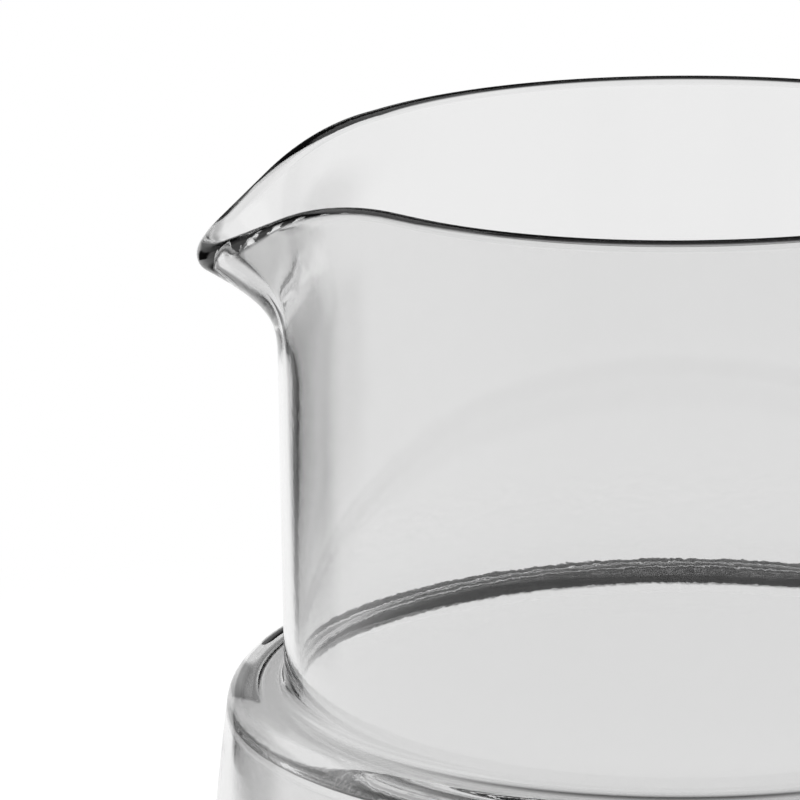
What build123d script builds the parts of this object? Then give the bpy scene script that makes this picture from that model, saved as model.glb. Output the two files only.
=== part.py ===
from build123d import *
from math import asin, atan2, cos, degrees, exp, radians, sin, sqrt, tan
import os

# A glass carafe, blown in one piece, with a pouring lip pulled out of its rim.
# All lengths are in millimetres and all angles in degrees. The carafe stands on z = 0 with its
# axis on Z, and the pouring lip points along -X.

# Heights
total_height = 240.0
neck_height = 50.7          # from the flat of the shoulder up to the rim
lip_zone = 19.5             # the part of the neck, below the rim, that the lip reshapes

# Outside of the neck, shoulder and body
neck_radius = 38.0
neck_fillet = 0.8           # where the neck stands on the shoulder
shoulder_flat_width = 2.98  # from the neck's outside to where the shoulder rounds down
shoulder_edge_radius = 2.6
shoulder_flare_radius = 254.0  # below its edge the body still widens, on a long curve
shoulder_flare_angle = 8.35    # how steeply that curve starts
foot_corner_radius = 6.0

# Walls
rim_thickness = 1.8
lip_thickness = 3.0
neck_wall_top = 1.9         # at the bottom of the lip zone
neck_wall_base = 1.55       # where the neck meets the shoulder
shoulder_wall = 1.85
body_wall = 1.55
base_thickness = 9.0        # from the table to the floor inside, at the wall

# Inside
neck_base_rounding = 2.4    # where the neck opens into the body
inner_shoulder_rounding = 2.4
inner_floor_rounding = 13.0
inner_floor_rise = 1.5      # the floor is a little higher in the middle

# Underside
foot_ring_width = 7.5
punt_depth = 3.0            # the hollow inside the foot ring

# Pouring lip, in plan: a rounded nose on two straight flanks, blended into the round rim
lip_overhang = 7.4          # how far the tip reaches past the round rim
lip_nose_radius = 8.6
lip_flank_angle = 39.5      # from the lip's direction to the square on a flank
lip_blend_start = 86.0      # angle from the lip where the round rim starts to draw in
# Pouring lip, from the side: the rim is level, bends down and runs straight to the tip
lip_bend_inset = 3.9        # how far inside the neck's outside the two straight lines would cross
lip_slope = 32.0
lip_bend_radius = 18.2
# Pouring lip, in section: how far the wall leans out at the tip, and how wide that lean spreads
lip_lean = 60.0
lip_lean_spread = 19.0
lip_thick_spread = 15.0
# How far the wall follows its direction at each end before it bends: a share of the wall's rise,
# and at the rim a share of its overhang as well
lip_wall_pull = 0.42
lip_overhang_pull = 0.5
# The same for the inside of the neck below the lip, as shares of half its height
taper_pull_top = 0.9
taper_pull_base = 0.6

# Half the turn round the axis that the lip reshapes, a little more than lip_blend_start, and about
# how many degrees lie between two of its sections
lip_half_turn = 90.0
section_step = 6.0

# Heights and radii that follow
shoulder_z = total_height - neck_height
lip_zone_z = total_height - lip_zone
inner_shoulder_z = shoulder_z - shoulder_wall
lip_reach = neck_radius + lip_overhang
lip_bend_distance = neck_radius - lip_bend_inset
shoulder_flat_radius = neck_radius + shoulder_flat_width
body_radius = (
    shoulder_flat_radius
    + shoulder_edge_radius * cos(radians(shoulder_flare_angle))
    + shoulder_flare_radius * (1 - cos(radians(shoulder_flare_angle)))
)
shoulder_flare_middle = body_radius - shoulder_flare_radius
shoulder_flare_foot_z = (
    shoulder_z
    - shoulder_edge_radius
    - (shoulder_flare_radius - shoulder_edge_radius) * sin(radians(shoulder_flare_angle))
)
body_inner_radius = body_radius - body_wall
# inside, the flare keeps the same middle and a small arc rounds it into the shoulder
inner_flare_radius = shoulder_flare_radius - body_wall
inner_edge_rise = inner_shoulder_z - inner_shoulder_rounding - shoulder_flare_foot_z
inner_edge_reach = inner_flare_radius - inner_shoulder_rounding
inner_flare_angle = degrees(asin(inner_edge_rise / inner_edge_reach))
inner_shoulder_radius = shoulder_flare_middle + sqrt(inner_edge_reach**2 - inner_edge_rise**2)
inner_floor_radius = body_inner_radius - inner_floor_rounding
foot_ring_radius = body_radius - foot_corner_radius
punt_radius = foot_ring_radius - foot_ring_width
punt_curve_radius = (punt_radius**2 + punt_depth**2) / (2 * punt_depth)
punt_half_angle = degrees(atan2(punt_radius, punt_curve_radius - punt_depth))
# the neck's root and the shoulder's inner edge reach past each other inside the glass
neck_opening_radius = neck_radius - neck_wall_base + neck_base_rounding
neck_root_radius = neck_opening_radius + (shoulder_flat_radius - neck_opening_radius) / 2
shoulder_inner_radius = (neck_opening_radius + neck_root_radius) / 2


def rim_outline_radius(angle):
    """Distance from the axis to the outside of the rim, at an angle from the lip."""
    turn = abs(angle)
    nose_centre = lip_reach - lip_nose_radius
    flank_distance = nose_centre * cos(radians(lip_flank_angle)) + lip_nose_radius
    spread = cos(radians(lip_blend_start - lip_flank_angle))
    blend_radius = (flank_distance - neck_radius * spread) / (1 - spread)
    blend_x = (neck_radius - blend_radius) * cos(radians(lip_blend_start))
    blend_y = (neck_radius - blend_radius) * sin(radians(lip_blend_start))
    flank_x, flank_y = cos(radians(lip_flank_angle)), sin(radians(lip_flank_angle))
    nose_end = degrees(atan2(lip_nose_radius * flank_y, nose_centre + lip_nose_radius * flank_x))
    blend_end = degrees(atan2(blend_y + blend_radius * flank_y, blend_x + blend_radius * flank_x))
    if turn <= nose_end:
        along = nose_centre * cos(radians(turn))
        return along + sqrt(lip_nose_radius**2 - nose_centre**2 + along**2)
    if turn <= blend_end:
        return flank_distance / cos(radians(turn - lip_flank_angle))
    if turn <= lip_blend_start:
        along = blend_x * cos(radians(turn)) + blend_y * sin(radians(turn))
        return along + sqrt(blend_radius**2 - blend_x**2 - blend_y**2 + along**2)
    return neck_radius


def rim_drop(distance):
    """How far the rim lies below its level part, at a distance along the lip's direction."""
    tangent = lip_bend_radius * tan(radians(lip_slope) / 2)
    start = lip_bend_distance - tangent
    end = lip_bend_distance + tangent * cos(radians(lip_slope))
    if distance <= start:
        return 0.0
    if distance < end:
        return lip_bend_radius - sqrt(lip_bend_radius**2 - (distance - start) ** 2)
    return (distance - lip_bend_distance) * tan(radians(lip_slope))


def wall_plane(angle):
    """The upright plane through the axis at an angle from the lip, X outwards and Y up."""
    outward = (-cos(radians(angle)), -sin(radians(angle)), 0)
    return Plane(origin=(0, 0, 0), x_dir=outward, z_dir=(outward[1], -outward[0], 0))


def neck_section(angle):
    """The section of the neck's wall at an angle from the lip, from the shoulder up and over the rim."""
    thick = rim_thickness + (lip_thickness - rim_thickness) * exp(-((angle / lip_thick_spread) ** 2))
    lean = radians(lip_lean * exp(-((angle / lip_lean_spread) ** 2)))
    up_the_wall = Vector(sin(lean), cos(lean))
    across_the_wall = Vector(cos(lean), -sin(lean))
    outline = rim_outline_radius(angle)
    rim_top = total_height - rim_drop(outline * cos(radians(angle)))
    # the rim is a half round, set back so that it just reaches the outline and the rim's height
    centre = Vector(outline - thick / 2, rim_top - thick / 2)
    outer_top = centre + across_the_wall * (thick / 2)
    inner_top = centre - across_the_wall * (thick / 2)
    crown = centre + up_the_wall * (thick / 2)
    outer_foot = Vector(neck_radius, lip_zone_z)
    inner_foot = Vector(neck_radius - neck_wall_top, lip_zone_z)
    # the wall leaves the straight neck upright and reaches the rim at its lean
    rise = outer_top.Y - lip_zone_z
    overhang = max(outline - neck_radius, 0)
    near_foot = Vector(0, rise * lip_wall_pull)
    near_rim = up_the_wall * (rise * lip_wall_pull + overhang * lip_overhang_pull)
    # inside, the wall thins a little towards the shoulder and then opens out into the body
    narrowest = Vector(neck_radius - neck_wall_base, inner_shoulder_z + neck_base_rounding)
    half_drop = Vector(0, (lip_zone_z - narrowest.Y) / 2)
    below_foot = inner_foot - half_drop * taper_pull_top
    above_narrowest = narrowest + half_drop * taper_pull_base
    with BuildSketch(wall_plane(angle)) as section:
        with BuildLine():
            junction = JernArc((neck_radius + neck_fillet, shoulder_z), (-1, 0), neck_fillet, -90)
            Line(junction @ 1, outer_foot)
            Bezier(outer_foot, outer_foot + near_foot, outer_top - near_rim, outer_top)
            ThreePointArc(outer_top, crown, inner_top)
            Bezier(inner_top, inner_top - near_rim, inner_foot + near_foot, inner_foot)
            Bezier(inner_foot, below_foot, above_narrowest, narrowest)
            opening = JernArc(narrowest, (0, -1), neck_base_rounding, 90)
            Polyline(
                opening @ 1,
                (neck_root_radius, inner_shoulder_z),
                (neck_root_radius, shoulder_z),
                junction @ 0,
            )
        make_face()
    return section.sketch


with BuildPart() as glass_vessel:
    # the body and shoulder are one profile turned round the axis
    with BuildSketch(Plane.XZ):
        with BuildLine():
            # outside, from the middle of the underside to the shoulder
            punt = JernArc((0, punt_depth), (1, 0), punt_curve_radius, -punt_half_angle)
            foot_corner = JernArc((foot_ring_radius, 0), (1, 0), foot_corner_radius, 90)
            Line(punt @ 1, foot_corner @ 0)
            shoulder_edge = JernArc(
                (shoulder_flat_radius, shoulder_z),
                (1, 0),
                shoulder_edge_radius,
                shoulder_flare_angle - 90,
            )
            flare = JernArc(
                shoulder_edge @ 1, shoulder_edge % 1, shoulder_flare_radius, -shoulder_flare_angle
            )
            Line(foot_corner @ 1, flare @ 1)
            # the shoulder ends inside the neck's root
            inner_edge = JernArc(
                (inner_shoulder_radius, inner_shoulder_z),
                (1, 0),
                inner_shoulder_rounding,
                inner_flare_angle - 90,
            )
            inner_flare = JernArc(
                inner_edge @ 1, inner_edge % 1, inner_flare_radius, -inner_flare_angle
            )
            Polyline(
                shoulder_edge @ 0,
                (shoulder_inner_radius, shoulder_z),
                (shoulder_inner_radius, inner_shoulder_z),
                inner_edge @ 0,
            )
            # inside, down to the middle of the floor
            inner_corner = JernArc((inner_floor_radius, base_thickness), (1, 0), inner_floor_rounding, 90)
            Line(inner_flare @ 1, inner_corner @ 1)
            floor_edge = inner_corner @ 0
            floor_middle = Vector(0, base_thickness + inner_floor_rise)
            floor_reach = Vector(inner_floor_radius / 2, 0)
            Bezier(floor_edge, floor_edge - floor_reach, floor_middle + floor_reach, floor_middle)
            Line(floor_middle, punt @ 0)
        make_face()
    revolve(axis=Axis.Z)
    # behind the lip the neck and its rim are round
    add(neck_section(lip_half_turn))
    revolve(axis=Axis.Z, revolution_arc=360 - 2 * lip_half_turn)
    # round the lip the neck's wall passes through evenly spaced sections
    section_gaps = round(2 * lip_half_turn / section_step)
    for index in range(section_gaps + 1):
        add(neck_section(lip_half_turn * (2 * index / section_gaps - 1)))
    loft()

glass_vessel.part.label = "glass_vessel"

os.makedirs("parts", exist_ok=True)
export_step(glass_vessel.part, "parts/glass_vessel.step")

glass_box = glass_vessel.part.bounding_box()
glass_density = 0.0025      # grams in a cubic millimetre
print("glass", round(glass_vessel.part.volume / 1000, 1), "ml")
print("mass", round(glass_vessel.part.volume * glass_density), "g")
print("size", [round(side, 2) for side in (glass_box.size.X, glass_box.size.Y, glass_box.size.Z)])
print("body diameter", round(2 * body_radius, 2))
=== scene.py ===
# %% [markdown]
# # A clear glass carafe
# The real object is one piece of clear glass: a round body, a flat narrow shoulder, a wide straight
# neck and a lip for pouring. It is blown into a mould and cut off above the neck. The cut edge is
# then melted round, and the lip is pulled with a tool while that edge is soft. Nothing is joined to
# it, so this lesson makes one mesh and one material. Most of its work is in the glass's thickness
# and in what surrounds it, because clear glass shows nothing of its own, only bent pictures of its
# surroundings.

# %% Load the CAD frame
import math
import bmesh
import bpy
from mathutils import Matrix, Vector


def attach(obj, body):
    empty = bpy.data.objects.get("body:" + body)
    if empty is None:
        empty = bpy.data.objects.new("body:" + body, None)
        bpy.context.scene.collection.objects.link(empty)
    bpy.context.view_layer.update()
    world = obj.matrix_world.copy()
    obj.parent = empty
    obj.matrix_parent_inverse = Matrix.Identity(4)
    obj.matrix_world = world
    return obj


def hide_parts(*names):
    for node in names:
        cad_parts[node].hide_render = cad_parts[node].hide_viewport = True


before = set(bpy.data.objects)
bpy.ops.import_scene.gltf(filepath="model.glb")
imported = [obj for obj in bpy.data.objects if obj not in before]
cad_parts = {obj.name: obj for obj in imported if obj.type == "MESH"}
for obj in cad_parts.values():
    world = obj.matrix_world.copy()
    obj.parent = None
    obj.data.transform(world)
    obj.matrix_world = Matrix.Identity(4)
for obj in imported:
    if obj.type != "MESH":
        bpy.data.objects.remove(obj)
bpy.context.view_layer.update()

# %% [markdown]
# ## Sizes of the real carafe
# These are the sizes that the CAD model is made from, in millimetres and degrees. They are written
# once more here because the mesh follows the same curves more finely than the CAD file does. Blender
# works in metres, so the factor mm turns them. The flare is the slow curve between the shoulder's
# edge and the straight side, and the punt is the hollow under the foot. A pull is the reach of a
# curve's handle, as a share of the stretch that it belongs to.

# %% Body, shoulder and foot
mm = 0.001
total_height = 240.0
shoulder_flat_width = 2.98
shoulder_edge_radius = 2.6
shoulder_flare_radius = 254.0
shoulder_flare_angle = 8.35
shoulder_wall = 1.85
inner_shoulder_rounding = 2.4
body_wall = 1.55
base_thickness = 9.0
inner_floor_rounding = 13.0
inner_floor_rise = 1.5
foot_corner_radius = 6.0
foot_ring_width = 7.5
punt_depth = 3.0

# %% Neck and rim
neck_height = 50.7
neck_radius = 38.0
neck_fillet = 0.8
neck_wall_top = 1.9
neck_wall_base = 1.55
neck_base_rounding = 2.4
taper_pull_top = 0.9
taper_pull_base = 0.6
rim_thickness = 1.8

# %% Lip
lip_zone = 19.5
lip_overhang = 7.4
lip_thickness = 3.0
lip_thick_spread = 15.0
lip_nose_radius = 8.6
lip_flank_angle = 39.5
lip_blend_start = 86.0
lip_bend_inset = 3.9
lip_bend_radius = 18.2
lip_slope = 32.0
lip_lean = 60.0
lip_lean_spread = 19.0
lip_wall_pull = 0.42
lip_overhang_pull = 0.5

# %% Heights and radii that follow from them
shoulder_z = total_height - neck_height
lip_zone_z = total_height - lip_zone
lip_reach = neck_radius + lip_overhang
lip_bend_distance = neck_radius - lip_bend_inset
shoulder_flat_radius = neck_radius + shoulder_flat_width
inner_shoulder_z = shoulder_z - shoulder_wall
flare_tilt = math.radians(shoulder_flare_angle)
body_radius = (
    shoulder_flat_radius
    + shoulder_edge_radius * math.cos(flare_tilt)
    + shoulder_flare_radius * (1 - math.cos(flare_tilt))
)
flare_middle = body_radius - shoulder_flare_radius
flare_foot_z = (
    shoulder_z
    - shoulder_edge_radius
    - (shoulder_flare_radius - shoulder_edge_radius) * math.sin(flare_tilt)
)
body_inner_radius = body_radius - body_wall
inner_flare_radius = shoulder_flare_radius - body_wall
inner_edge_rise = inner_shoulder_z - inner_shoulder_rounding - flare_foot_z
inner_edge_reach = inner_flare_radius - inner_shoulder_rounding
inner_flare_tilt = math.asin(inner_edge_rise / inner_edge_reach)
inner_shoulder_radius = flare_middle + inner_edge_reach * math.cos(inner_flare_tilt)
neck_opening_radius = neck_radius - neck_wall_base + neck_base_rounding
inner_floor_radius = body_inner_radius - inner_floor_rounding
foot_ring_radius = body_radius - foot_corner_radius
punt_radius = foot_ring_radius - foot_ring_width
punt_curve_radius = (punt_radius**2 + punt_depth**2) / (2 * punt_depth)
punt_half_angle = math.asin(punt_radius / punt_curve_radius)
print("body", round(2 * body_radius, 1), "mm across, shoulder at", shoulder_z, "mm")

# %% [markdown]
# ## The camera
# The photograph was taken with a long lens from about half a metre away, a little above the rim,
# and shows only the left part of the neck and shoulder. Its place was worked out from the shapes of
# the near and far rim, the neck's edge and the shoulder. The view is turned and tilted rather than
# shifted, so that other views of the same camera stay centred on the carafe.

# %% Where the camera stood, in millimetres and degrees
lip_turned_to_camera = 6.0
camera_distance = 513.0
camera_height = 348.72
camera_turned_left = 2.9578
camera_tilted_down = 14.4788
camera_rolled = 0.9037
focal_length_in_pixels = 5575.1
photo_width_in_pixels = 800
nearest_seen_in_metres = 0.02
furthest_seen_in_metres = 40.0

# %% Place the camera
camera_data = bpy.data.cameras.new("camera")
camera = bpy.data.objects.new("camera", camera_data)
bpy.context.scene.collection.objects.link(camera)
bpy.context.scene.camera = camera
camera_data.sensor_fit = "HORIZONTAL"
camera_data.lens = focal_length_in_pixels / photo_width_in_pixels * camera_data.sensor_width
camera_data.clip_start = nearest_seen_in_metres
camera_data.clip_end = furthest_seen_in_metres
around = Matrix.Rotation(math.radians(-lip_turned_to_camera), 4, "Z")
stand = Matrix.Translation(Vector((0, -camera_distance, camera_height)) * mm)
left = Matrix.Rotation(math.radians(camera_turned_left), 4, "Z")
down = Matrix.Rotation(math.radians(90 - camera_tilted_down), 4, "X")
roll = Matrix.Rotation(math.radians(-camera_rolled), 4, "Z")
camera.matrix_world = around @ stand @ left @ down @ roll
print("camera at", [round(place, 3) for place in camera.matrix_world.translation])
print("lens", round(camera_data.lens), "mm on a", camera_data.sensor_width, "mm sensor")

# %% [markdown]
# ## The wall, from the underside to the floor inside
# A carafe could be made by turning a profile with a Screw modifier, but the lip would then need
# sculpting. Here each upright slice of the wall is one line of points instead, and the slices stand
# side by side round the axis. All slices have the same number of points, so joining neighbours
# gives clean four-sided faces, and only the top of a slice changes as it nears the lip.


# %% Curves for a slice, as lists of (radius, height) in millimetres
def arc_points(middle, radius, start, end, count):
    """Points on an arc, without its first one. Angles in radians, 0 pointing outwards."""
    angles = [start + (end - start) * (step + 1) / count for step in range(count)]
    return [
        (middle[0] + radius * math.cos(angle), middle[1] + radius * math.sin(angle))
        for angle in angles
    ]


def line_points(start, end, count):
    """Points on a straight line, without its first one."""
    shares = [(step + 1) / count for step in range(count)]
    return [
        (start[0] + (end[0] - start[0]) * share, start[1] + (end[1] - start[1]) * share)
        for share in shares
    ]


def bezier_points(start, start_pull, end_pull, end, count):
    """Points on a curve between two ends and their handles, without its first one."""
    points = []
    for step in range(count):
        share = (step + 1) / count
        rest = 1 - share
        weights = (rest**3, 3 * rest**2 * share, 3 * rest * share**2, share**3)
        corners = (start, start_pull, end_pull, end)
        points.append(
            tuple(sum(w * corner[side] for w, corner in zip(weights, corners)) for side in (0, 1))
        )
    return points


# %% How finely each stretch of a slice is divided
punt_steps = 12
flat_steps = 3
corner_steps = 12
body_steps = 16
flare_steps = 14
fillet_steps = 8
neck_steps = 12
lip_wall_steps = 26
rim_steps = 16
taper_steps = 18
neck_base_steps = 10
inner_flat_steps = 2
floor_steps = 10

# %% [markdown]
# ## The pouring lip
# Seen from above, the lip is a rounded nose on two straight flanks, which blend into the round rim
# nearly a quarter turn away. Seen from the side, the rim is level, bends and slopes down to the tip.
# The wall under the tip leans outwards and is thicker, because the glass gathers there as it is
# pulled.

# %% The rim's outline from above
nose_centre = lip_reach - lip_nose_radius
flank = math.radians(lip_flank_angle)
flank_distance = nose_centre * math.cos(flank) + lip_nose_radius
blend_start = math.radians(lip_blend_start)
blend_cosine = math.cos(blend_start - flank)
blend_radius = (flank_distance - neck_radius * blend_cosine) / (1 - blend_cosine)
blend_x = (neck_radius - blend_radius) * math.cos(blend_start)
blend_y = (neck_radius - blend_radius) * math.sin(blend_start)
nose_end = math.atan2(
    lip_nose_radius * math.sin(flank), nose_centre + lip_nose_radius * math.cos(flank)
)
flank_end = math.atan2(
    blend_y + blend_radius * math.sin(flank), blend_x + blend_radius * math.cos(flank)
)


def rim_outline_radius(turn):
    """Distance from the axis to the outside of the rim, at a turn in degrees from the lip."""
    angle = math.radians(abs(turn))
    if angle <= nose_end:
        along = nose_centre * math.cos(angle)
        return along + math.sqrt(lip_nose_radius**2 - nose_centre**2 + along**2)
    if angle <= flank_end:
        return flank_distance / math.cos(angle - flank)
    if angle <= blend_start:
        along = blend_x * math.cos(angle) + blend_y * math.sin(angle)
        return along + math.sqrt(blend_radius**2 - blend_x**2 - blend_y**2 + along**2)
    return neck_radius


print("the lip reaches", lip_reach, "mm from the axis")

# %% The rim's line from the side
slope = math.radians(lip_slope)
bend_tangent = lip_bend_radius * math.tan(slope / 2)
bend_start = lip_bend_distance - bend_tangent
bend_end = lip_bend_distance + bend_tangent * math.cos(slope)


def rim_drop(distance):
    """How far the rim lies below its level part, at a distance along the lip's direction."""
    if distance <= bend_start:
        return 0.0
    if distance < bend_end:
        return lip_bend_radius - math.sqrt(lip_bend_radius**2 - (distance - bend_start) ** 2)
    return (distance - lip_bend_distance) * math.tan(slope)


tip_height = total_height - rim_drop(lip_reach)
print("the top of its tip is at", round(tip_height, 1), "mm")


# %% The rim of one slice
def bell(turn, spread):
    """A share that is 1 at the lip, about a third at the spread and 0 far from it."""
    return math.exp(-((turn / spread) ** 2))


def rim_section(turn):
    """The rim's thickness, lean, middle and overhang, at a turn in degrees from the lip."""
    thick = rim_thickness + (lip_thickness - rim_thickness) * bell(turn, lip_thick_spread)
    lean = math.radians(lip_lean * bell(turn, lip_lean_spread))
    outline = rim_outline_radius(turn)
    rim_top = total_height - rim_drop(outline * math.cos(math.radians(turn)))
    centre = Vector((outline - thick / 2, rim_top - thick / 2))
    overhang = max(outline - neck_radius, 0)
    return thick, lean, centre, overhang


# %% The neck of one slice, from the shoulder over the rim and down to the body
def neck_slice(turn):
    """Points of the neck's wall at a turn from the lip, without the first one on the shoulder."""
    thick, lean, centre, overhang = rim_section(turn)
    up = Vector((math.sin(lean), math.cos(lean)))
    across = Vector((math.cos(lean), -math.sin(lean)))
    outer_top = centre + across * thick / 2
    inner_top = centre - across * thick / 2
    outer_foot = Vector((neck_radius, lip_zone_z))
    inner_foot = Vector((neck_radius - neck_wall_top, lip_zone_z))
    rise = outer_top.y - lip_zone_z
    foot_pull = Vector((0, rise * lip_wall_pull))
    rim_pull = up * (rise * lip_wall_pull + overhang * lip_overhang_pull)
    narrowest = Vector((neck_radius - neck_wall_base, inner_shoulder_z + neck_base_rounding))
    half_drop = Vector((0, (lip_zone_z - narrowest.y) / 2))
    fillet_middle = (neck_radius + neck_fillet, shoulder_z + neck_fillet)
    opening_middle = (neck_opening_radius, narrowest.y)
    points = arc_points(fillet_middle, neck_fillet, -math.pi / 2, -math.pi, fillet_steps)
    points += line_points(points[-1], outer_foot, neck_steps)
    points += bezier_points(
        outer_foot, outer_foot + foot_pull, outer_top - rim_pull, outer_top, lip_wall_steps
    )
    points += arc_points(centre, thick / 2, -lean, math.pi - lean, rim_steps)
    points += bezier_points(
        inner_top, inner_top - rim_pull, inner_foot + foot_pull, inner_foot, lip_wall_steps
    )
    points += bezier_points(
        inner_foot,
        inner_foot - half_drop * taper_pull_top,
        narrowest + half_drop * taper_pull_base,
        narrowest,
        taper_steps,
    )
    points += arc_points(
        opening_middle, neck_base_rounding, math.pi, math.pi * 1.5, neck_base_steps
    )
    return points


# %% The outside and the inside of the body
def body_outside():
    """Points from the middle of the underside to the foot of the neck."""
    punt_middle = (0, punt_depth - punt_curve_radius)
    punt_end = math.pi / 2 - punt_half_angle
    foot_middle = (foot_ring_radius, foot_corner_radius)
    edge_middle = (shoulder_flat_radius, shoulder_z - shoulder_edge_radius)
    points = [(0, punt_depth)]
    points += arc_points(punt_middle, punt_curve_radius, math.pi / 2, punt_end, punt_steps)
    points += line_points(points[-1], (foot_ring_radius, 0), flat_steps)
    points += arc_points(foot_middle, foot_corner_radius, -math.pi / 2, 0, corner_steps)
    points += line_points(points[-1], (body_radius, flare_foot_z), body_steps)
    points += arc_points(
        (flare_middle, flare_foot_z), shoulder_flare_radius, 0, flare_tilt, flare_steps
    )
    points += arc_points(edge_middle, shoulder_edge_radius, flare_tilt, math.pi / 2, corner_steps)
    points += line_points(points[-1], (neck_radius + neck_fillet, shoulder_z), flat_steps)
    return points


def body_inside(start):
    """Points from the foot of the neck, without that start, to the middle of the floor inside."""
    shoulder_middle = (inner_shoulder_radius, inner_shoulder_z - inner_shoulder_rounding)
    floor_corner = (inner_floor_radius, base_thickness + inner_floor_rounding)
    floor_middle = (0, base_thickness + inner_floor_rise)
    floor_reach = inner_floor_radius / 2
    points = line_points(start, (inner_shoulder_radius, inner_shoulder_z), inner_flat_steps)
    points += arc_points(
        shoulder_middle, inner_shoulder_rounding, math.pi / 2, inner_flare_tilt, corner_steps
    )
    points += arc_points(
        (flare_middle, flare_foot_z), inner_flare_radius, inner_flare_tilt, 0, flare_steps
    )
    points += line_points(points[-1], (body_inner_radius, floor_corner[1]), body_steps)
    points += arc_points(floor_corner, inner_floor_rounding, 0, -math.pi / 2, corner_steps)
    points += bezier_points(
        points[-1],
        (inner_floor_radius - floor_reach, base_thickness),
        (floor_reach, floor_middle[1]),
        floor_middle,
        floor_steps,
    )
    return points


# %% One whole slice of the carafe
def carafe_slice(turn):
    """Points of the wall from the middle of the underside to the middle of the floor inside."""
    points = body_outside() + neck_slice(turn)
    return points + body_inside(points[-1])


print("points in a slice:", len(carafe_slice(0)))

# %% [markdown]
# ## Joining the slices
# Slices stand close together round the lip, where the wall bends most, and further apart behind it.
# Every slice starts at the middle of the underside and ends at the middle of the floor inside, so
# each of those two points becomes one vertex with a fan of triangles. Shading is smooth: melted
# glass has no sharp edge.

# %% Where the slices stand, in degrees from the lip
close_range = 44.0
close_gap = 0.55
wide_gap = 1.25


def even_turns(start, end, gap):
    """Evenly spaced turns from start up to, but not with, end."""
    count = round((end - start) / gap)
    return [start + (end - start) * step / count for step in range(count)]


turns = even_turns(-close_range, close_range, close_gap)
turns += even_turns(close_range, 360.0 - close_range, wide_gap)
turns = [turn if turn <= 180 else turn - 360 for turn in turns]
print(len(turns), "slices")

# %% Points of all slices, in metres
slices = [carafe_slice(turn) for turn in turns]
vertices = []
for turn, points in zip(turns, slices):
    outward = (-math.cos(math.radians(turn)), -math.sin(math.radians(turn)))
    for radius, height in points[1:-1]:
        vertices.append((outward[0] * radius * mm, outward[1] * radius * mm, height * mm))
row_length = len(slices[0]) - 2
underside_vertex = len(vertices)
floor_vertex = underside_vertex + 1
underside_height = slices[0][0][1]
floor_height = slices[0][-1][1]
vertices.append((0, 0, underside_height * mm))
vertices.append((0, 0, floor_height * mm))
print(len(vertices), "vertices")

# %% Faces between neighbouring slices
faces = []
for index in range(len(turns)):
    here = index * row_length
    there = (index + 1) % len(turns) * row_length
    faces.append((underside_vertex, there, here))
    for step in range(row_length - 1):
        faces.append((here + step, there + step, there + step + 1, here + step + 1))
    faces.append((here + row_length - 1, there + row_length - 1, floor_vertex))
print(len(faces), "faces")

# %% One closed mesh
vessel_mesh = bpy.data.meshes.new("glass_vessel_wall")
vessel_mesh.from_pydata(vertices, [], faces)
mesh_check = bmesh.new()
mesh_check.from_mesh(vessel_mesh)
bmesh.ops.recalc_face_normals(mesh_check, faces=mesh_check.faces)
glass_volume = mesh_check.calc_volume(signed=True)
mesh_check.to_mesh(vessel_mesh)
mesh_check.free()
vessel_mesh.shade_smooth()
vessel = bpy.data.objects.new("vessel", vessel_mesh)
bpy.context.scene.collection.objects.link(vessel)
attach(vessel, "root")
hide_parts("glass_vessel")
millilitres_in_cubic_metre = 1e6
print(round(glass_volume * millilitres_in_cubic_metre, 1), "ml of glass")

# %% [markdown]
# ## The glass
# Soda-lime glass is what jars, bottles and carafes are made of. It bends light by about 1.52. A trace
# of iron and a decolouring agent leave it faintly grey, which shows where you look through a long
# stretch of it. Blown and fire-polished, it is as smooth as a liquid was, so its roughness is zero
# except on the ring that it stands on, which tables have scratched dull. The surface isn't perfectly
# even, though: it waves gently over a few centimetres, with a fine ripple from the mould's skin, and
# that is what makes lines seen through real glass tremble. Most of the grey is given to the surface,
# so that light which runs a long way inside a wall isn't lost, and only a little to the inside.
#
# Both kinds of unevenness are noises. A noise's detail says how many times a finer one is laid over
# it, and its roughness how strong those finer ones are.


# %% Helpers for materials
def from_hex(code):
    """A linear colour from sRGB hex digits, by the sRGB standard's own formula."""
    channels = [int(code[place : place + 2], 16) / 255 for place in (0, 2, 4)]
    linear = [
        channel / 12.92 if channel <= 0.04045 else ((channel + 0.055) / 1.055) ** 2.4
        for channel in channels
    ]
    return (*linear, 1.0)


def add_node(tree, kind, settings=None, values=None, links=None):
    """A node with its settings, the plain values of its sockets, and the sockets that feed it."""
    node = tree.nodes.new(kind)
    for name, setting in (settings or {}).items():
        setattr(node, name, setting)
    for name, value in (values or {}).items():
        node.inputs[name].default_value = value
    for name, source in (links or {}).items():
        tree.links.new(source, node.inputs[name])
    return node


def new_material(name):
    """A material and its empty node tree."""
    material = bpy.data.materials.new(name)
    material.use_nodes = True
    material.node_tree.nodes.clear()
    return material, material.node_tree


# %% What the glass is like, with lengths in millimetres
glass_ior = 1.52
glass_tone = "EFEFEF"
grey_per_metre = 25.0
wave_length = 24.0
wave_depth = 0.04
wave_detail = 1.0
wave_roughness = 0.4
ripple_length = 1.1
ripple_depth = 0.0026
ripple_detail = 2.0
ripple_roughness = 0.5
worn_ring_height = 0.5
worn_roughness = 0.25


# %% Unevenness of a surface
def add_noise(tree, place, length, detail, roughness):
    """A noise whose swells are about one length across."""
    noise = add_node(
        tree,
        "ShaderNodeTexNoise",
        values={"Scale": 1 / (length * mm), "Detail": detail, "Roughness": roughness},
        links={"Vector": place},
    )
    return noise.outputs[0]


def add_bump(tree, depth, links):
    """A surface direction tilted by a height, as if it rose and fell by a depth."""
    bump = add_node(
        tree, "ShaderNodeBump", values={"Strength": 1.0, "Distance": depth * mm}, links=links
    )
    return bump.outputs[0]


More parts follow.
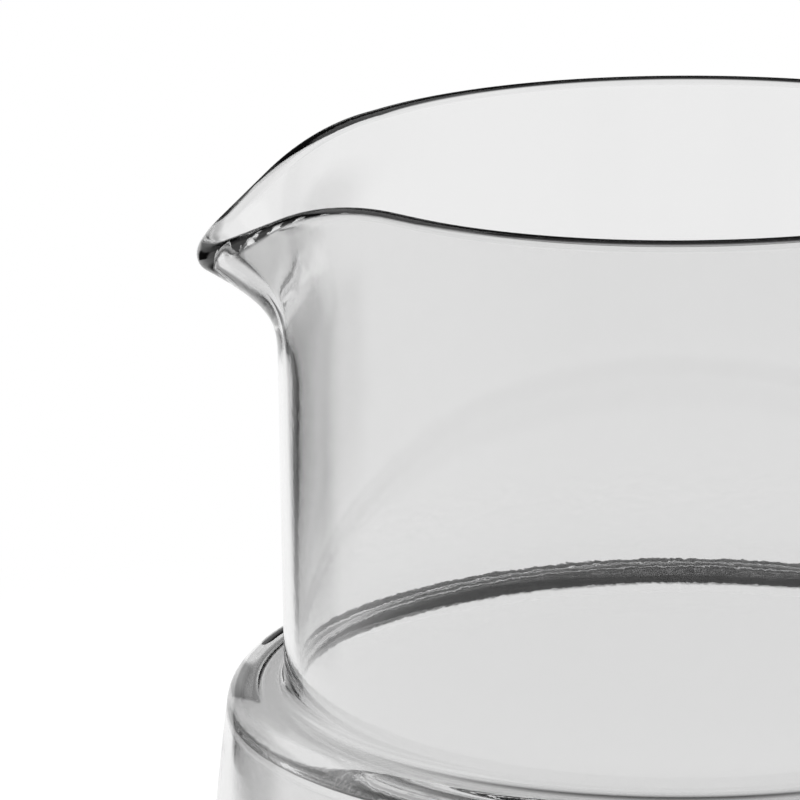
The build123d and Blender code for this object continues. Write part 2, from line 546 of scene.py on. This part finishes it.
# %% Glass: smooth, faintly grey, gently waved
glass, tree = new_material("blown_soda_lime_glass")
place = add_node(tree, "ShaderNodeTexCoord").outputs["Object"]
waves = add_noise(tree, place, wave_length, wave_detail, wave_roughness)
ripple = add_noise(tree, place, ripple_length, ripple_detail, ripple_roughness)
waved = add_bump(tree, wave_depth, {"Height": waves})
rippled = add_bump(tree, ripple_depth, {"Height": ripple, "Normal": waved})
height = add_node(tree, "ShaderNodeSeparateXYZ", links={"Vector": place}).outputs["Z"]
worn = add_node(
    tree,
    "ShaderNodeMapRange",
    values={"From Min": 0.0, "From Max": worn_ring_height * mm, "To Min": worn_roughness, "To Max": 0.0},
    links={"Value": height},
)
surface = add_node(
    tree,
    "ShaderNodeBsdfPrincipled",
    values={
        "Base Color": from_hex(glass_tone),
        "Transmission Weight": 1.0,
        "IOR": glass_ior,
    },
    links={"Roughness": worn.outputs["Result"], "Normal": rippled},
)
inside = add_node(
    tree,
    "ShaderNodeVolumeAbsorption",
    values={"Color": from_hex(glass_tone), "Density": grey_per_metre},
)
add_node(
    tree,
    "ShaderNodeOutputMaterial",
    links={"Surface": surface.outputs[0], "Volume": inside.outputs[0]},
)
vessel_mesh.materials.append(glass)
print(glass.name, "bends light by", glass_ior)

# %% [markdown]
# ## The floor and the room
# Glass is photographed against a white background with dark things round it. The white comes through
# the clear parts, and where the wall turns away from the camera it bends in the dark, which draws the
# outline. The floor is pale, takes the carafe's soft shadow and runs out into white. The glass itself
# sees a table, panels and softboxes round it, which are plain levels of grey.

# %% Floor
floor_radius_in_metres = 12.0
floor_sides = 64

floor_mesh = bpy.data.meshes.new("floor")
floor_shape = bmesh.new()
bmesh.ops.create_circle(
    floor_shape, cap_ends=True, segments=floor_sides, radius=floor_radius_in_metres
)
floor_shape.to_mesh(floor_mesh)
floor_shape.free()
floor = bpy.data.objects.new("floor", floor_mesh)
bpy.context.scene.collection.objects.link(floor)
print("floor", 2 * floor_radius_in_metres, "m across")

# %% What the floor is like
# Each pair is two distances in metres from the carafe, between which one look becomes another.
floor_colour = "F2F2F2"
floor_lift = 0.25
fade_to_white = (0.15, 0.7)
table_level = 0.95
foot_shade_edge = (0.28, 0.38)
table_rim = (0.66, 0.82)


# %% Helpers for the floor and the room
def soft_step(tree, value, span):
    """A share that climbs smoothly from 0 to 1 as a value goes from a span's start to its end."""
    step = add_node(
        tree,
        "ShaderNodeMapRange",
        settings={"interpolation_type": "SMOOTHSTEP"},
        values={"From Min": span[0], "From Max": span[1]},
        links={"Value": value},
    )
    return step.outputs["Result"]


def white_glow(tree, strength):
    """A surface that gives off white light."""
    glow = add_node(
        tree, "ShaderNodeEmission", values={"Color": (1, 1, 1, 1), "Strength": strength}
    )
    return glow.outputs[0]


def mix_surfaces(tree, share, first, second):
    """The first surface where the share is 0, and the second one where it is 1."""
    mix = add_node(tree, "ShaderNodeMixShader", links={0: share, 1: first, 2: second})
    return mix.outputs[0]


# %% The floor's paper
# Rays from the camera see the lit floor with the shadow on it, which fades to white further out.
# Rays that came through the glass, or off it, see a wide white ring of table. Inside it they see the
# shaded table top round the foot, and past its edge the panels that stand round it, both of which
# the room below draws by direction.
paper, tree = new_material("pale_paper_floor")
position = add_node(tree, "ShaderNodeNewGeometry").outputs["Position"]
distance = add_node(
    tree, "ShaderNodeVectorMath", settings={"operation": "LENGTH"}, links={0: position}
).outputs["Value"]
lit = add_node(tree, "ShaderNodeBsdfDiffuse", values={"Color": from_hex(floor_colour)})
near_floor = add_node(
    tree, "ShaderNodeAddShader", links={0: lit.outputs[0], 1: white_glow(tree, floor_lift)}
).outputs[0]
far = soft_step(tree, distance, fade_to_white)
seen_floor = mix_surfaces(tree, far, near_floor, white_glow(tree, 1.0))
to_room = add_node(tree, "ShaderNodeBsdfTransparent").outputs[0]
past_shade = soft_step(tree, distance, foot_shade_edge)
past_table = soft_step(tree, distance, table_rim)
table_top = mix_surfaces(tree, past_shade, to_room, white_glow(tree, table_level))
through_glass = mix_surfaces(tree, past_table, table_top, to_room)
ray = add_node(tree, "ShaderNodeLightPath")
by_glass = add_node(
    tree,
    "ShaderNodeMath",
    settings={"operation": "MAXIMUM"},
    links={0: ray.outputs["Is Glossy Ray"], 1: ray.outputs["Is Transmission Ray"]},
).outputs[0]
seen = mix_surfaces(tree, by_glass, seen_floor, through_glass)
add_node(tree, "ShaderNodeOutputMaterial", links={"Surface": seen})
floor_mesh.materials.append(paper)
print(paper.name, "is white from", fade_to_white[1], "m outwards")

# %% [markdown]
# The room is drawn by direction. The table is white further out and dark close to the foot, under
# the carafe's own shade, so steep downward directions are dark. A white panel stands behind the
# carafe and grey ones at the sides and in front, with a dark gap at each rear corner. Above them is a
# low strip of grey wall, a softbox hangs high on each side, and the rest is dark. Where the carafe's
# wall bends the view into a gap, steeply down or up past the panels, it turns dark. Those thin dark
# lines draw the glass.

# %% Levels of grey in the room
# Each pair is an angle in degrees and the grey there. The table and the upper room go by the angle
# above the horizon, and the panels and softboxes by the turn away from straight behind the carafe.
table_levels = (
    (-90, 0.02),
    (-51, 0.02),
    (-44, 0.12),
    (-39, 0.45),
    (-31, 0.85),
    (-20, 0.92),
)
panel_levels = (
    (0, 1.0),
    (22, 1.0),
    (27, 0.9),
    (29, 0.6),
    (31, 0.02),
    (58, 0.02),
    (66, 0.85),
    (108, 0.85),
    (150, 0.7),
    (180, 0.7),
)
upper_levels = ((0, 0.34), (10, 0.34), (15, 0.04), (90, 0.04))
softbox_levels = ((0, 0.04), (20, 0.04), (32, 0.95), (115, 0.95), (130, 0.04), (180, 0.04))
ceiling_level = 0.04

# %% Where one part of the room gives way to the next
# Each pair is two angles in degrees above the horizon.
table_edge = (-23, -19)
panel_top = (-2, 4)
softbox_foot = (22, 28)
softbox_top = (54, 60)

# %% Helpers for the room
# A Mix node keeps sockets for numbers, vectors and colours side by side. These are its colour ones.
colour_a = 6
colour_b = 7
colour_result = 2


def sine(angle):
    """The height of a direction, as a share of its length, at an elevation in degrees."""
    return math.sin(math.radians(angle))


def share_of_rise(angle):
    """Where an elevation in degrees stands between straight down, 0, and straight up, 1."""
    return (sine(angle) + 1) / 2


def share_of_turn(angle):
    """Where a turn in degrees stands between straight behind, 0, and straight in front, 1."""
    return angle / 180


def level_ramp(tree, share, levels, share_of):
    """A ramp of greys along a share of 0 to 1, with each angle turned into a share by a function."""
    ramp = add_node(tree, "ShaderNodeValToRGB", links={"Fac": share})
    elements = ramp.color_ramp.elements
    halfway = 0.5
    while len(elements) < len(levels):
        elements.new(halfway)
    for stop, (angle, level) in zip(elements, levels):
        stop.position = share_of(angle)
        stop.color = (level, level, level, 1)
    return ramp.outputs["Color"]


def blend_levels(tree, rise, span, low, high):
    """One level below a span of elevations and another above it. A level is a grey or a socket."""
    share = soft_step(tree, rise, [sine(angle) for angle in span])
    mix = add_node(tree, "ShaderNodeMix", settings={"data_type": "RGBA"}, links={"Factor": share})
    for socket, level in ((mix.inputs[colour_a], low), (mix.inputs[colour_b], high)):
        if isinstance(level, float):
            socket.default_value = (level, level, level, 1)
        else:
            tree.links.new(level, socket)
    return mix.outputs[colour_result]


# %% How far a direction rises, and how far it is turned from straight behind the carafe
world = bpy.data.worlds.new("studio")
bpy.context.scene.world = world
world.use_nodes = True
tree = world.node_tree
tree.nodes.clear()
direction = add_node(tree, "ShaderNodeTexCoord").outputs["Generated"]
rise = add_node(tree, "ShaderNodeSeparateXYZ", links={"Vector": direction}).outputs["Z"]
rise_share = add_node(
    tree, "ShaderNodeMapRange", values={"From Min": -1.0, "From Max": 1.0}, links={"Value": rise}
).outputs["Result"]
flattened = add_node(
    tree,
    "ShaderNodeVectorMath",
    settings={"operation": "MULTIPLY"},
    values={1: (1, 1, 0)},
    links={0: direction},
).outputs["Vector"]
level_direction = add_node(
    tree, "ShaderNodeVectorMath", settings={"operation": "NORMALIZE"}, links={0: flattened}
).outputs["Vector"]
camera_turn = math.radians(lip_turned_to_camera)
backwards = Vector((math.sin(camera_turn), math.cos(camera_turn), 0))
facing = add_node(
    tree,
    "ShaderNodeVectorMath",
    settings={"operation": "DOT_PRODUCT"},
    values={1: backwards},
    links={0: level_direction},
).outputs["Value"]
turned = add_node(
    tree, "ShaderNodeMath", settings={"operation": "ARCCOSINE"}, links={0: facing}
).outputs[0]
turned_share = add_node(
    tree, "ShaderNodeMapRange", values={"From Min": 0.0, "From Max": math.pi}, links={"Value": turned}
).outputs["Result"]

# %% Room, from the table up to the ceiling
table = level_ramp(tree, rise_share, table_levels, share_of_rise)
panels = level_ramp(tree, turned_share, panel_levels, share_of_turn)
upper = level_ramp(tree, rise_share, upper_levels, share_of_rise)
softboxes = level_ramp(tree, turned_share, softbox_levels, share_of_turn)
room = blend_levels(tree, rise, table_edge, table, panels)
room = blend_levels(tree, rise, panel_top, room, upper)
room = blend_levels(tree, rise, softbox_foot, room, softboxes)
room = blend_levels(tree, rise, softbox_top, room, ceiling_level)
print("room of", len(panel_levels), "levels at the sides and", len(table_levels), "on the table")

# %% White for the camera, the room for everything else
ray = add_node(tree, "ShaderNodeLightPath")
background = add_node(
    tree,
    "ShaderNodeMix",
    settings={"data_type": "RGBA"},
    values={colour_b: (1, 1, 1, 1)},
    links={0: ray.outputs["Is Camera Ray"], colour_a: room},
).outputs[colour_result]
room_light = add_node(
    tree, "ShaderNodeBackground", values={"Strength": 1.0}, links={"Color": background}
)
add_node(tree, "ShaderNodeOutputWorld", links={"Surface": room_light.outputs[0]})

# %% A soft lamp overhead, for the shadow, in metres and watts
# The lamp is hidden from the glass itself, so that it leaves no bright patch on it.
lamp_width = 1.4
lamp_watts = 60.0
lamp_place = (0.3, -0.3, 1.3)
lamp_aim = Vector((0, 0, 0.1))

lamp_data = bpy.data.lights.new("softbox", "AREA")
lamp_data.shape = "DISK"
lamp_data.size = lamp_width
lamp_data.energy = lamp_watts
lamp = bpy.data.objects.new("softbox", lamp_data)
bpy.context.scene.collection.objects.link(lamp)
lamp.location = lamp_place
lamp.rotation_euler = (lamp_aim - lamp.location).to_track_quat("-Z", "Y").to_euler()
lamp.visible_glossy = False
lamp.visible_transmission = False
print("lamp", lamp_width, "m wide, at", lamp_place)

# %% Let light pass through many glass surfaces
bounces = 24
bpy.context.scene.cycles.max_bounces = bounces
bpy.context.scene.cycles.transmission_bounces = bounces
bpy.context.scene.cycles.glossy_bounces = bounces
bpy.context.scene.view_settings.view_transform = "Standard"
print("light may bounce", bounces, "times")
